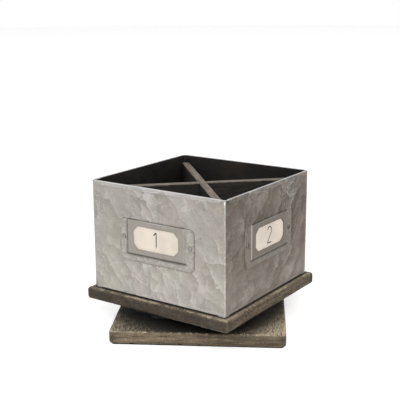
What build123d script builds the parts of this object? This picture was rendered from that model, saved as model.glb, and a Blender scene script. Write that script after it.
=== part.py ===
from build123d import *
import os
from math import cos, radians, sin, sqrt

# Spinning pen holder: an open galvanised box on a wooden turntable. Millimetres, +Z up.
# The origin is on the spin axis, on the surface that the holder stands on.
# The front wall faces -Y and the right wall faces +X, so the near corner is front right.

os.makedirs("parts", exist_ok=True)

# Wooden boards and the rubber pad under them
board_width = 133.0
board_thickness = 9.8
board_corner_radius = 3.5
board_edge_radius = 1.3
base_turn = 30.3  # degrees that the lower board is turned against the box at rest
pad_thickness = 0.9
pad_inset = 1.5
pad_corner_radius = 3.0

# Ring bearing between the boards
bearing_height = 9.8
bearing_width = 77.0
bearing_corner_radius = 5.0
bearing_sheet = 0.9
ball_diameter = 4.8
ball_count = 24
race_radius = 26.5
race_clearance = 0.05
groove_drop = 1.0  # from the ball's middle down to the top of the groove
lip_reach = 4.8  # from the ball's middle to the end of each lip
flank_reach = 7.2  # from the ball's middle to the foot of the flank
hook_gap = 1.5  # between the hooked flange and the lower plate's inner lip
hook_lift = 1.2  # between the base board and the hooked flange
hook_overlap = 1.2

# Wood screws
screw_square_width = 63.0
screw_radius = 1.6
screw_length = 6.5
screw_tip_length = 2.5
screw_tip_radius = 0.3
screw_head_radius = 3.2
screw_head_height = 1.7
screw_head_rounding = 1.1
screw_slot_width = 0.7
screw_slot_length = 3.6
screw_slot_depth = 0.8
screw_fit = 0.05
sheet_hole_clearance = 0.4
access_hole_radius = 7.0
box_screw_ring_radius = 36.0

# Box of folded sheet
box_width = 122.0
box_height = 87.0
wall_sheet = 0.6
bend_radius = 1.2
seam_lap = 8.0
seam_gap = 0.3
wall_lift = 0.6
toe_length = 6.0
hem_height = 3.2
hem_opening = 0.25
hem_relief = 2.6
hem_corner_drop = 0.3
pan_flange = 6.0
pan_clearance = 0.1
pan_corner_radius = 2.0
pan_bend_radius = 0.9

# Divider cross
divider_thickness = 6.0
divider_drop = 6.2
divider_corner_gap = 0.6
divider_edge_radius = 0.5
lap_clearance = 0.08

# Label holders, their eyelets and cards
holder_width = 69.0
holder_height = 33.0
holder_rise = 28.0
holder_corner_radius = 4.0
holder_sheet = 0.5
pocket_width = 53.5
pocket_rise = 6.0
pocket_rounding = 0.35
window_width = 42.0
window_height = 18.2
window_rise = 4.5
window_chamfer = 4.2
window_rounding = 1.5
card_thickness = 0.4
card_clearance = 0.15
card_side_gap = 0.4
card_drop = 0.6
eyelet_rise = 18.5
eyelet_radius = 1.0
eyelet_bore = 0.6
eyelet_bore_depth = 1.0
eyelet_rim_radius = 1.7
eyelet_rim_height = 0.5
eyelet_rim_rounding = 0.3
eyelet_tail_radius = 1.5
eyelet_tail_height = 0.4
eyelet_fit = 0.05

# Heights above the surface that the holder stands on
base_top = pad_thickness + board_thickness
turntable_bottom = base_top + bearing_height
turntable_top = turntable_bottom + board_thickness
rim_top = turntable_top + box_height
pan_top = turntable_top + wall_sheet
ball_height = base_top + bearing_height / 2

# Facing of each wall, in degrees about the spin axis
sides = {"front": -90, "right": 0, "back": 90, "left": 180}


def level(height, turn=0):
    """A level plane at a height, with its x axis turned about the spin axis by so many degrees."""
    return Plane.XY.offset(height).rotated((0, 0, turn))


def upright(facing, out, height):
    """An upright plane at a distance from the spin axis: x runs along it, y up and z outwards."""
    outwards = Vector(cos(radians(facing)), sin(radians(facing)), 0)
    along = Vector(-sin(radians(facing)), cos(radians(facing)), 0)
    return Plane(origin=outwards * out + Vector(0, 0, height), x_dir=along, z_dir=outwards)


def across(facing, out, height, shift):
    """An upright plane that cuts a wall across: x runs outwards, y up and z back along the wall."""
    outwards = Vector(cos(radians(facing)), sin(radians(facing)), 0)
    along = Vector(-sin(radians(facing)), cos(radians(facing)), 0)
    return Plane(origin=outwards * out + along * shift + Vector(0, 0, height), x_dir=outwards, z_dir=-along)


# Rubber pad under the lower board
pad_width = board_width - 2 * pad_inset
with BuildPart() as base_pad:
    with BuildSketch(level(0, base_turn)):
        RectangleRounded(pad_width, pad_width, pad_corner_radius)
    extrude(amount=pad_thickness)
base_pad.part.label = "base_pad"
export_step(base_pad.part, "parts/base_pad.step")

# Lower board, with pilot holes for the lower plate and a hole that lets a screwdriver reach the upper one
screw_ring_radius = screw_square_width / sqrt(2)
pilot_radius = screw_radius + screw_fit
with BuildPart() as base_board:
    with BuildSketch(level(pad_thickness, base_turn)):
        RectangleRounded(board_width, board_width, board_corner_radius)
    extrude(amount=board_thickness)
    fillet(faces().filter_by(Axis.Z).edges(), board_edge_radius)
    with BuildSketch(level(base_top, base_turn)):
        with GridLocations(screw_square_width, screw_square_width, 2, 2):
            Circle(pilot_radius)
    extrude(amount=-screw_length, mode=Mode.SUBTRACT)
    with BuildSketch(level(base_top, base_turn)):
        with Locations((screw_ring_radius, 0)):
            Circle(access_hole_radius)
    extrude(amount=-board_thickness, mode=Mode.SUBTRACT)
base_board.part.label = "base_board"
export_step(base_board.part, "parts/base_board.step")

# Upper board, with pilot holes from below for the upper plate and from above for the box
with BuildPart() as turntable_board:
    with BuildSketch(level(turntable_bottom)):
        RectangleRounded(board_width, board_width, board_corner_radius)
    extrude(amount=board_thickness)
    fillet(faces().filter_by(Axis.Z).edges(), board_edge_radius)
    with BuildSketch(level(turntable_bottom)):
        with GridLocations(screw_square_width, screw_square_width, 2, 2):
            Circle(pilot_radius)
    extrude(amount=screw_length, mode=Mode.SUBTRACT)
    with BuildSketch(level(turntable_top)):
        with PolarLocations(box_screw_ring_radius, len(sides)):
            Circle(pilot_radius)
    extrude(amount=-screw_length, mode=Mode.SUBTRACT)
turntable_board.part.label = "turntable_board"
export_step(turntable_board.part, "parts/turntable_board.step")

# Pressed section that both bearing plates share: a groove under the ball, two lips and an outer flank.
# Here x is the distance from the spin axis and y the height from the ball's middle.
groove_radius = ball_diameter / 2 + race_clearance
groove_half = sqrt(groove_radius**2 - groove_drop**2)
plate_drop = bearing_height / 2
section_plane = Plane(origin=(0, 0, ball_height), x_dir=(1, 0, 0), z_dir=(0, -1, 0))
with BuildSketch() as race_section:
    with Locations((race_radius, 0)):
        Circle(groove_radius + bearing_sheet)
        Circle(groove_radius, mode=Mode.SUBTRACT)
    with Locations((race_radius, -groove_drop)):
        Rectangle(2 * lip_reach, 2 * lip_reach, align=(Align.CENTER, Align.MIN), mode=Mode.SUBTRACT)
    with Locations((race_radius + groove_half, -groove_drop)):
        Rectangle(lip_reach - groove_half, bearing_sheet, align=(Align.MIN, Align.MAX))
    with Locations((race_radius - groove_half, -groove_drop)):
        Rectangle(lip_reach - groove_half, bearing_sheet, align=(Align.MAX, Align.MAX))
    Polygon(
        (race_radius + lip_reach - bearing_sheet, -groove_drop),
        (race_radius + lip_reach, -groove_drop),
        (race_radius + flank_reach, -plate_drop),
        (race_radius + flank_reach - bearing_sheet, -plate_drop),
        align=None,
    )

# Lower plate of the bearing
flat_hole_radius = race_radius + flank_reach - bearing_sheet / 2
sheet_hole_radius = screw_radius + sheet_hole_clearance
with BuildPart() as bearing_lower_plate:
    with BuildSketch(level(base_top, base_turn)):
        RectangleRounded(bearing_width, bearing_width, bearing_corner_radius)
        Circle(flat_hole_radius, mode=Mode.SUBTRACT)
        with GridLocations(screw_square_width, screw_square_width, 2, 2):
            Circle(sheet_hole_radius, mode=Mode.SUBTRACT)
    extrude(amount=bearing_sheet)
    with BuildSketch(section_plane):
        add(race_section.sketch)
    revolve(axis=Axis.Z)
bearing_lower_plate.part.label = "bearing_lower_plate"
export_step(bearing_lower_plate.part, "parts/bearing_lower_plate.step")

# Upper plate of the bearing, with a flange that passes the lower plate's inner lip and hooks under it
flange_outside = race_radius - lip_reach - hook_gap
hook_height = hook_lift - plate_drop
with BuildPart() as bearing_upper_plate:
    with BuildSketch(level(turntable_bottom)):
        RectangleRounded(bearing_width, bearing_width, bearing_corner_radius)
        Circle(flat_hole_radius, mode=Mode.SUBTRACT)
        with GridLocations(screw_square_width, screw_square_width, 2, 2):
            Circle(sheet_hole_radius, mode=Mode.SUBTRACT)
    extrude(amount=-bearing_sheet)
    with BuildSketch(section_plane):
        add(mirror(race_section.sketch, about=Plane.XZ, mode=Mode.PRIVATE))
        with Locations((race_radius - lip_reach, groove_drop)):
            Rectangle(hook_gap + bearing_sheet, bearing_sheet, align=(Align.MAX, Align.MIN))
        with Locations((flange_outside, hook_height)):
            Rectangle(bearing_sheet, groove_drop - hook_height, align=(Align.MAX, Align.MIN))
            Rectangle(hook_gap + hook_overlap, bearing_sheet, align=(Align.MIN, Align.MIN))
    revolve(axis=Axis.Z)
bearing_upper_plate.part.label = "bearing_upper_plate"
export_step(bearing_upper_plate.part, "parts/bearing_upper_plate.step")

# Loose balls in the race
with BuildPart(level(ball_height)) as bearing_balls:
    with PolarLocations(race_radius, ball_count):
        Sphere(ball_diameter / 2)
bearing_balls.part.label = "bearing_balls"
export_step(bearing_balls.part, "parts/bearing_balls.step")

# One pan head wood screw, pointing down, with its head standing on the plane of the origin
shank_length = screw_length - screw_tip_length
with BuildPart() as wood_screw:
    with BuildSketch(Plane.XZ):
        Rectangle(screw_head_radius, screw_head_height, align=(Align.MIN, Align.MIN))
        fillet(vertices().group_by(Axis.Y)[-1].sort_by(Axis.X)[-1], screw_head_rounding)
        Rectangle(screw_radius, shank_length, align=(Align.MIN, Align.MAX))
        Polygon(
            (0, -shank_length),
            (screw_radius, -shank_length),
            (screw_tip_radius, -screw_length),
            (0, -screw_length),
            align=None,
        )
    revolve(axis=Axis.Z)
    with BuildSketch(level(screw_head_height)):
        Rectangle(screw_slot_length, screw_slot_width)
        Rectangle(screw_slot_width, screw_slot_length)
    extrude(amount=-screw_slot_depth, mode=Mode.SUBTRACT)

with BuildPart(level(base_top + bearing_sheet, base_turn)) as lower_plate_screws:
    with GridLocations(screw_square_width, screw_square_width, 2, 2):
        add(wood_screw.part)
lower_plate_screws.part.label = "lower_plate_screws"
export_step(lower_plate_screws.part, "parts/lower_plate_screws.step")

upper_sheet_face = Plane(origin=(0, 0, turntable_bottom - bearing_sheet), x_dir=(1, 0, 0), z_dir=(0, 0, -1))
with BuildPart(upper_sheet_face) as upper_plate_screws:
    with GridLocations(screw_square_width, screw_square_width, 2, 2):
        add(wood_screw.part)
upper_plate_screws.part.label = "upper_plate_screws"
export_step(upper_plate_screws.part, "parts/upper_plate_screws.step")

with BuildPart(level(pan_top)) as box_screws:
    with PolarLocations(box_screw_ring_radius, len(sides)):
        add(wood_screw.part)
box_screws.part.label = "box_screws"
export_step(box_screws.part, "parts/box_screws.step")

# Floor of the box: a pan with an upturned flange inside the walls
pan_width = box_width - 2 * wall_sheet - 2 * pan_clearance
with BuildPart() as box_floor:
    with BuildSketch(level(turntable_top)):
        RectangleRounded(pan_width, pan_width, pan_corner_radius)
    extrude(amount=pan_flange)
    fillet(faces().sort_by(Axis.Z)[0].edges(), pan_bend_radius)
    offset(amount=-wall_sheet, openings=faces().sort_by(Axis.Z)[-1])
    with BuildSketch(level(turntable_top)):
        with PolarLocations(box_screw_ring_radius, len(sides)):
            Circle(sheet_hole_radius)
    extrude(amount=wall_sheet, mode=Mode.SUBTRACT)
box_floor.part.label = "box_floor"
export_step(box_floor.part, "parts/box_floor.step")

# Walls: two like panels, each bent at one corner, with one end bent in behind the other panel at a seam.
# Their top edge is folded outwards into a hem, cut at 45 degrees beside each corner.
box_half = box_width / 2
wall_middle = box_half - wall_sheet / 2
lap_middle = box_half - wall_sheet * 3 / 2
bend_middle = bend_radius - wall_sheet / 2
seam_foot = turntable_top + pan_flange + seam_gap
hem_radius = wall_sheet + hem_opening / 2
hem_foot = rim_top - hem_radius
hem_half = box_half - hem_relief
hem_drop = hem_height - hem_radius
eyelet_offset = (holder_width + pocket_width) / 4  # halfway between the pocket's edge and the holder's
eyelet_height = turntable_top + holder_rise + eyelet_rise
slit_length = box_width - 2 * toe_length
for name, turn in {"near_wall_panel": 0, "far_wall_panel": 180}.items():
    with BuildPart() as wall_panel:
        with BuildSketch(level(turntable_top, turn)):
            with BuildLine():
                FilletPolyline(
                    (wall_sheet - box_half, -wall_middle),
                    (wall_middle, -wall_middle),
                    (wall_middle, box_half),
                    radius=bend_middle,
                )
            trace(line_width=wall_sheet)
        extrude(amount=seam_foot - turntable_top)
        with BuildSketch(level(seam_foot, turn)) as wall_outline:
            with BuildLine():
                FilletPolyline(
                    (-lap_middle, seam_lap - box_half),
                    (-lap_middle, -wall_middle),
                    (wall_middle, -wall_middle),
                    (wall_middle, box_half),
                    radius=bend_middle,
                )
            trace(line_width=wall_sheet)
        extrude(amount=hem_foot - seam_foot)
        with BuildSketch(level(hem_foot, turn)):
            add(wall_outline.sketch_local)
            with Locations((0, -wall_middle)):
                Rectangle(2 * hem_half, 2 * wall_sheet, mode=Mode.SUBTRACT)
            with Locations((wall_middle, 0)):
                Rectangle(2 * wall_sheet, 2 * hem_half, mode=Mode.SUBTRACT)
        extrude(amount=hem_radius - hem_corner_drop)
        with BuildSketch(level(turntable_top, turn)):
            with Locations((0, -wall_middle)):
                Rectangle(slit_length, 2 * wall_sheet)
            with Locations((wall_middle, 0)):
                Rectangle(2 * wall_sheet, slit_length)
        extrude(amount=wall_lift, mode=Mode.SUBTRACT)
        for facing in (turn - 90, turn):
            with BuildSketch(across(facing, box_half + hem_opening / 2, hem_foot, hem_half)):
                Circle(hem_radius)
                Circle(hem_opening / 2, mode=Mode.SUBTRACT)
                Rectangle(2 * hem_radius, hem_radius, align=(Align.CENTER, Align.MAX), mode=Mode.SUBTRACT)
            extrude(amount=2 * hem_half)
            with BuildSketch(upright(facing, box_half + hem_opening, hem_foot)):
                Polygon(
                    (-hem_half, 0),
                    (hem_half, 0),
                    (hem_half - hem_drop, -hem_drop),
                    (hem_drop - hem_half, -hem_drop),
                    align=None,
                )
            extrude(amount=wall_sheet)
            with BuildSketch(upright(facing, box_half, eyelet_height)):
                with Locations((-eyelet_offset, 0), (eyelet_offset, 0)):
                    Circle(eyelet_radius + eyelet_fit)
            extrude(amount=-wall_sheet, mode=Mode.SUBTRACT)
    wall_panel.part.label = name
    export_step(wall_panel.part, f"parts/{name}.step")

# Divider cross: two boards on the diagonals, halved together where they meet
divider_half = (pan_width / 2 - wall_sheet) * sqrt(2) - divider_thickness / 2 - divider_corner_gap
divider_height = box_height - divider_drop - wall_sheet
slot_width = divider_thickness + 2 * lap_clearance
slot_height = divider_height / 2 + lap_clearance
for name, facing, slot_foot in (
    ("divider_near_far", 45, 0),
    ("divider_left_right", -45, divider_height - slot_height),
):
    with BuildPart() as divider:
        with BuildSketch(upright(facing, 0, pan_top)):
            Rectangle(2 * divider_half, divider_height, align=(Align.CENTER, Align.MIN))
        extrude(amount=divider_thickness / 2, both=True)
        fillet(faces().sort_by(Axis.Z)[-1].edges(), divider_edge_radius)
        with BuildSketch(upright(facing, 0, pan_top + slot_foot)):
            Rectangle(slot_width, slot_height, align=(Align.CENTER, Align.MIN))
        extrude(amount=divider_thickness, both=True, mode=Mode.SUBTRACT)
    divider.part.label = name
    export_step(divider.part, f"parts/{name}.step")

# One eyelet, seen from its rim: its shank goes back through the holder and the wall
eyelet_grip = holder_sheet + wall_sheet
with BuildPart() as eyelet:
    with BuildSketch(Plane.XZ):
        Rectangle(eyelet_rim_radius, eyelet_rim_height, align=(Align.MIN, Align.MIN))
        fillet(vertices().group_by(Axis.Y)[-1].sort_by(Axis.X)[-1], eyelet_rim_rounding)
        Rectangle(eyelet_radius, eyelet_grip, align=(Align.MIN, Align.MAX))
        with Locations((0, -eyelet_grip)):
            Rectangle(eyelet_tail_radius, eyelet_tail_height, align=(Align.MIN, Align.MAX))
        with Locations((0, eyelet_rim_height)):
            Rectangle(eyelet_bore, eyelet_bore_depth, align=(Align.MIN, Align.MAX), mode=Mode.SUBTRACT)
    revolve(axis=Axis.Z)

# Label holders with an open-topped pocket, their eyelets, and the cards that stand in the pockets
holder_foot = turntable_top + holder_rise
pocket_foot = holder_foot + pocket_rise
pocket_height = holder_height - pocket_rise
pocket_inside = pocket_width - 2 * holder_sheet
pocket_depth = card_thickness + 2 * card_clearance
card_width = pocket_inside - 2 * card_side_gap
card_height = pocket_height - holder_sheet - card_drop
for side, facing in sides.items():
    with BuildPart() as label_holder:
        with BuildSketch(upright(facing, box_half, holder_foot + holder_height / 2)):
            RectangleRounded(holder_width, holder_height, holder_corner_radius)
            with Locations((0, eyelet_rise - holder_height / 2)):
                with Locations((-eyelet_offset, 0), (eyelet_offset, 0)):
                    Circle(eyelet_radius + eyelet_fit, mode=Mode.SUBTRACT)
        extrude(amount=holder_sheet)
        with BuildSketch(upright(facing, box_half, pocket_foot)) as pocket_outline:
            Rectangle(pocket_width, pocket_height, align=(Align.CENTER, Align.MIN))
        extrude(amount=pocket_depth + holder_sheet)
        outwards = Axis((0, 0, 0), pocket_outline.workplanes[0].z_dir)
        fillet(faces().sort_by(outwards)[-1].edges(), pocket_rounding)
        with BuildSketch(upright(facing, box_half, pocket_foot + holder_sheet)):
            Rectangle(pocket_inside, pocket_height, align=(Align.CENTER, Align.MIN))
        extrude(amount=pocket_depth, mode=Mode.SUBTRACT)
        with BuildSketch(upright(facing, box_half, pocket_foot + window_rise + window_height / 2)):
            Rectangle(window_width, window_height)
            chamfer(vertices(), window_chamfer)
            fillet(vertices(), window_rounding)
        extrude(amount=pocket_depth + 2 * holder_sheet, mode=Mode.SUBTRACT)
    label_holder.part.label = f"label_holder_{side}"
    export_step(label_holder.part, f"parts/label_holder_{side}.step")

    with BuildPart(upright(facing, box_half + holder_sheet, eyelet_height)) as holder_eyelets:
        with Locations((-eyelet_offset, 0), (eyelet_offset, 0)):
            add(eyelet.part)
    holder_eyelets.part.label = f"holder_eyelets_{side}"
    export_step(holder_eyelets.part, f"parts/holder_eyelets_{side}.step")

    with BuildPart() as label_card:
        with BuildSketch(upright(facing, box_half + card_clearance, pocket_foot + holder_sheet)):
            Rectangle(card_width, card_height, align=(Align.CENTER, Align.MIN))
        extrude(amount=card_thickness)
    label_card.part.label = f"label_card_{side}"
    export_step(label_card.part, f"parts/label_card_{side}.step")
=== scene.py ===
from functools import cache
from math import cos, degrees, pi, radians, sin, sqrt, tau

import bpy
import numpy as np
from mathutils import Matrix, Vector


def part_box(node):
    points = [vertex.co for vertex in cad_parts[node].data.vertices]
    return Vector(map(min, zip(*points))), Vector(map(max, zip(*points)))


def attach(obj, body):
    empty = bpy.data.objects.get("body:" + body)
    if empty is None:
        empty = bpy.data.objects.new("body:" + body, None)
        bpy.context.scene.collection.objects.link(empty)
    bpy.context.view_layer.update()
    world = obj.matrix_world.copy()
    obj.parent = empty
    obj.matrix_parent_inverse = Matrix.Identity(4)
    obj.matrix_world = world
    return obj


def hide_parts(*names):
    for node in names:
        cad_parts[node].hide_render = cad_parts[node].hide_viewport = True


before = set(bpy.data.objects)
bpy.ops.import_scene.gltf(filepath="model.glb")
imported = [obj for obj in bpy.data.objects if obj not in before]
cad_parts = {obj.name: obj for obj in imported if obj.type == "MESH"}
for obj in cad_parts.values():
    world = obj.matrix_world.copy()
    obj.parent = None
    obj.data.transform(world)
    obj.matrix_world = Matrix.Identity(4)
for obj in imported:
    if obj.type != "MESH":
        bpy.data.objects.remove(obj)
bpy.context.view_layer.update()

bl_info = {
    "name": "Turning pen holder",
    "version": (1, 0, 0),
    "blender": (4, 5, 0),
    "location": "3D View > Sidebar > Pen Holder",
    "description": "Dresses a turning pen holder: worn boards, spangled sheet, label holders and cards",
    "category": "Object",
}

MM = 0.001
# Degrees from +X to the outward side of each wall
SIDES = {"front": -90, "right": 0, "back": 90, "left": 180}
BOARD_LOW, BOARD_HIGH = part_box("turntable_board")
BASE_LOW, BASE_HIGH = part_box("base_board")
WALL_LOW, WALL_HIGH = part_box("near_wall_panel")
HOLDER_LOW, HOLDER_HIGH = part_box("label_holder_front")
# From the spin axis to the face of the front card
CARD_FRONT = -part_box("label_card_front")[0].y
DIVIDER_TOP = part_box("divider_near_far")[1].z


# Settings


def length(name, description, millimetres):
    """A length that a user can change, given here in millimetres."""
    default = millimetres * MM
    return bpy.props.FloatProperty(
        name=name, description=description, default=default, min=0.0, unit="LENGTH", precision=5
    )


def angle(name, description, in_degrees):
    """An angle that a user can change, given here in degrees."""
    default = radians(in_degrees)
    return bpy.props.FloatProperty(name=name, description=description, default=default, subtype="ANGLE")


def share(name, description, default, most=1.0):
    """A plain number from nothing to most."""
    return bpy.props.FloatProperty(name=name, description=description, default=default, min=0.0, max=most)


def power(name, description, watts):
    """A lamp's power."""
    return bpy.props.FloatProperty(name=name, description=description, default=watts, unit="POWER")


def colour(name, description, red, green, blue):
    """A linear colour that a user can change."""
    return bpy.props.FloatVectorProperty(
        name=name, description=description, default=(red, green, blue, 1.0),
        size=4, min=0.0, max=1.0, subtype="COLOR",
    )


class BoardSettings(bpy.types.PropertyGroup):
    half: length("Half width", "From the spin axis to a board's side", BOARD_HIGH.x / MM)
    corner: length("Upper corner radius", "Rounding of the upper board's upright corners", 2.6)
    base_corner: length("Lower corner radius", "Rounding of the lower board's upright corners", 3.5)
    arris: length("Upper arris radius", "Rounding between the upper board's faces and sides", 2.5)
    base_arris: length("Lower arris radius", "Rounding between the lower board's faces and sides", 1.2)
    base_turn: angle("Lower board turn", "Turn of the lower board against the box at rest", 30.3)
    hole_out: length("Hole offset", "From the spin axis to the screwdriver hole", 44.55)
    hole_radius: length("Hole radius", "Radius of the screwdriver hole", 7.0)
    bite: length("Chip depth", "Deepest chip in a worn arris", 0.55)
    stain_dark: colour("Dark stain", "Stain where it lies thick", 0.030, 0.025, 0.018)
    stain_mid: colour("Mid stain", "Stain over plain wood", 0.205, 0.164, 0.112)
    stain_pale: colour("Pale grain", "Rubbed grain lines", 0.560, 0.465, 0.330)
    bare: colour("Bare wood", "Wood laid bare at the worn arrises", 0.560, 0.460, 0.330)
    side_dark: colour("Dark side", "Dark streaks on the sides", 0.086, 0.062, 0.037)
    side_pale: colour("Pale side", "Pale streaks on the sides", 0.252, 0.190, 0.120)
    # Painted shade in part: the upper board's whole stain is darkened, as its sides catch less light.
    upper_shade: share("Upper board shade", "How bright the upper board is beside the lower one", 0.64)


class SheetSettings(bpy.types.PropertyGroup):
    half: length("Half width", "From the spin axis to the outside of a wall", 61.0)
    gauge: length("Sheet thickness", "Thickness of the wall sheet", 0.6)
    bend: length("Bend radius", "Outside radius of the upright bends", 1.2)
    lap_bend: length("Lap bend radius", "Outside radius of the bend behind each seam", 0.7)
    lap: length("Seam lap", "Width of the flange behind each seam", 8.0)
    lap_foot: length("Lap foot", "Height of the foot of that flange", 36.6)
    lift: length("Wall lift", "Gap under the middle of each wall", 0.6)
    toe: length("Toe", "Length that touches the board at each corner", 6.0)
    hem_gap: length("Hem opening", "Room inside the folded hem", 0.25)
    hem_half: length("Hem half length", "Half the length of each hem", 58.4)
    hem_leaf: length("Hem leaf", "Length of the hem's folded leaf", 2.475)
    corner_drop: length("Corner drop", "How far the corners stay below the hem", 0.3)
    sway: length("Waviness", "How far the sheet dips between its bends", 0.14)
    spangle: length("Spangle size", "Usual width of a zinc crystal", 13.0)
    # Painted reflection of the pale floor, which brightens the zinc towards the foot.
    painted_foot_reflection: share("Painted foot reflection", "How much brighter the zinc is where it ran thick at the foot", 0.13)
    zinc_dark: colour("Dark zinc", "Dull end of a crystal", 0.262, 0.241, 0.212)
    zinc_mid: colour("Mid zinc", "Usual zinc", 0.338, 0.312, 0.277)
    zinc_pale: colour("Pale zinc", "Bright end of a crystal", 0.455, 0.432, 0.402)
    enamel: colour("Enamel", "Black coat inside the box", 0.008, 0.0075, 0.007)


class LabelSettings(bpy.types.PropertyGroup):
    half_width: length("Half width", "Half the width of a holder's flange", 34.5)
    corner: length("Corner radius", "Corners of the flange", 4.0)
    gauge: length("Sheet thickness", "Thickness of the pressed sheet", 0.5)
    pocket_half: length("Pocket half width", "Half the width of the raised pocket", 26.75)
    pocket_foot: length("Pocket foot", "From the flange's foot to the pocket's", 6.0)
    pocket_depth: length("Pocket depth", "Room for the card", 0.7)
    window_half: length("Window half width", "Half the width of the window", 21.0)
    window_height: length("Window height", "Height of the window", 18.2)
    window_rise: length("Window rise", "From the pocket's foot to the window's", 4.5)
    window_chamfer: length("Window chamfer", "Cut corners of the window", 4.2)
    eyelet_out: length("Eyelet offset", "From a holder's middle to each eyelet", 30.625)
    eyelet_height: length("Eyelet height", "Height of the eyelets above the table", 76.8)
    numeral_height: length("Numeral height", "Height of the numeral on a card", 12.6)
    stroke: length("Stroke width", "Width of a numeral's stroke", 0.85)
    paper: colour("Card", "Uncoated card", 0.790, 0.702, 0.612)
    ink: colour("Ink", "Printed numeral", 0.020, 0.018, 0.017)


class StudioSettings(bpy.types.PropertyGroup):
    place: bpy.props.FloatVectorProperty(
        name="Camera place", description="Where the camera stands", default=(0.36706, -0.53430, 0.25744),
        size=3, subtype="TRANSLATION", unit="LENGTH",
    )
    heading: angle("Camera heading", "Turn of the view from +Y towards -X", 34.666)
    pitch: angle("Camera pitch", "How far the camera looks down", 13.942)
    roll: angle("Camera roll", "Roll of the camera", -0.320)
    lens: bpy.props.FloatProperty(name="Lens", description="Focal length", default=75.595, unit="CAMERA")
    key: power("Key lamp", "Power of the key lamp", 11.0)
    fill: power("Fill lamp", "Power of the fill lamp", 3.0)
    sky: share("Sky", "Strength of the light from all round", 0.62, 4.0)
    floor: colour("Floor", "Plain pale floor", 0.93, 0.93, 0.93)
    floor_lift: share("Floor lift", "How much the floor glows for the camera and in reflections", 0.46)


# Surfaces


def link(name, data):
    """A new object in the scene, at the world's origin."""
    made = bpy.data.objects.new(name, data)
    bpy.context.scene.collection.objects.link(made)
    return made


def pair(one, two):
    """Two arrays side by side on a new last axis."""
    return np.stack([one, two], -1)


def bell(distance, width):
    """One at no distance, fading on both sides to about a third at the given width."""
    return np.exp(-((distance / width) ** 2))


def eased(value):
    """A value from 0 to 1, with a soft start and end."""
    return value * value * (3 - 2 * value)


def facing_way(degrees, out, aside, level):
    """Points from how far they are out towards a heading, how far aside and how high."""
    cosine, sine = cos(radians(degrees)), sin(radians(degrees))
    return np.stack([out * cosine - aside * sine, out * sine + aside * cosine, level], -1)


def surface(name, points, loop_rows=False, fields=None, uv=None):
    """Closed surface on a grid of points: rows by columns, where the last column joins the first. The
    rows join up too where loop_rows is set; otherwise the first and last row each close on a pole at
    their mean. fields are values for each point and uv is a pair for each point. The faces are turned
    round if the volume inside comes out negative."""
    index = np.arange(points[..., 0].size).reshape(points.shape[:2])
    first, last = index[0], index[-1]
    here = index if loop_rows else index[:-1]
    above = np.roll(index, -1, axis=0) if loop_rows else index[1:]
    quads = np.stack([here, np.roll(here, -1, 1), np.roll(above, -1, 1), above], -1).reshape(-1, 4)
    triangles = np.zeros((0, 3), int)
    if not loop_rows:
        pole = np.full(len(first), index.size)
        triangles = np.vstack([
            np.stack([np.roll(first, -1), first, pole], -1),
            np.stack([last, np.roll(last, -1), pole + 1], -1),
        ])

    def with_poles(value, width):
        value = value.reshape(-1, width)
        return value if loop_rows else np.vstack([value, value[first].mean(0), value[last].mean(0)])

    vertices = with_poles(points, 3)
    corners = vertices[np.vstack([quads[:, :3], quads[:, [0, 2, 3]], triangles])]
    inside = np.einsum("ij,ij->i", corners[:, 0], np.cross(corners[:, 1], corners[:, 2])).sum()
    if inside < 0:
        quads, triangles = quads[:, ::-1], triangles[:, ::-1]
    mesh = bpy.data.meshes.new(name)
    mesh.from_pydata(vertices.tolist(), [], quads.tolist() + triangles.tolist())
    mesh.shade_smooth()
    for key, value in (fields or {}).items():
        carried = mesh.attributes.new(key, "FLOAT", "POINT").data
        carried.foreach_set("value", with_poles(value, 1).astype(np.float32).ravel())
    if uv is not None:
        vertex_of = np.zeros(len(mesh.loops), int)
        mesh.loops.foreach_get("vertex_index", vertex_of)
        carried = mesh.uv_layers.new(name="sheet").data
        carried.foreach_set("uv", with_poles(uv, 2)[vertex_of].astype(np.float32).ravel())
    return link(name, mesh)


def ripple(turn, seed, waves, low, high, lean=0.0):
    """Sum of sines with whole numbers of waves round a loop, drawn once from the seed. turn runs from 0
    to a full turn and lean slides each wave along by its own amount, for a second direction."""
    draw = np.random.default_rng(seed)
    count = draw.integers(low, high, waves)
    start = draw.uniform(0, tau, waves)
    slide = draw.uniform(-1, 1, waves)
    weight = 1 / np.sqrt(count)
    wave = np.sin(turn[..., None] * count + start + np.asarray(lean)[..., None] * slide)
    return (wave * weight).sum(-1) / np.sqrt((weight**2).sum() / 2)


def square_loop(flat, flat_steps, bend_steps):
    """Centre line and outward normals of a round-cornered square, walked anticlockwise. On each side the
    centre runs from one corner's centre to the next with a steady normal, then the normal turns by a
    quarter while the centre waits. A point is centre + radius * normal."""
    run = np.concatenate([np.linspace(-1, 1, flat_steps, endpoint=False), np.ones(bend_steps)])
    lean = np.concatenate([np.zeros(flat_steps), np.linspace(0, pi / 2, bend_steps, endpoint=False)])
    quarter = np.arange(4)[:, None] * pi / 2
    cosine, sine = np.cos(quarter), np.sin(quarter)
    centre = flat * pair(cosine - run * sine, sine + run * cosine)
    normal = pair(np.cos(quarter + lean), np.sin(quarter + lean))
    return centre.reshape(-1, 2), normal.reshape(-1, 2)


def turned(points, degrees):
    """Points turned about the spin axis."""
    return facing_way(degrees, points[..., 0], points[..., 1], points[..., 2])


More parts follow.
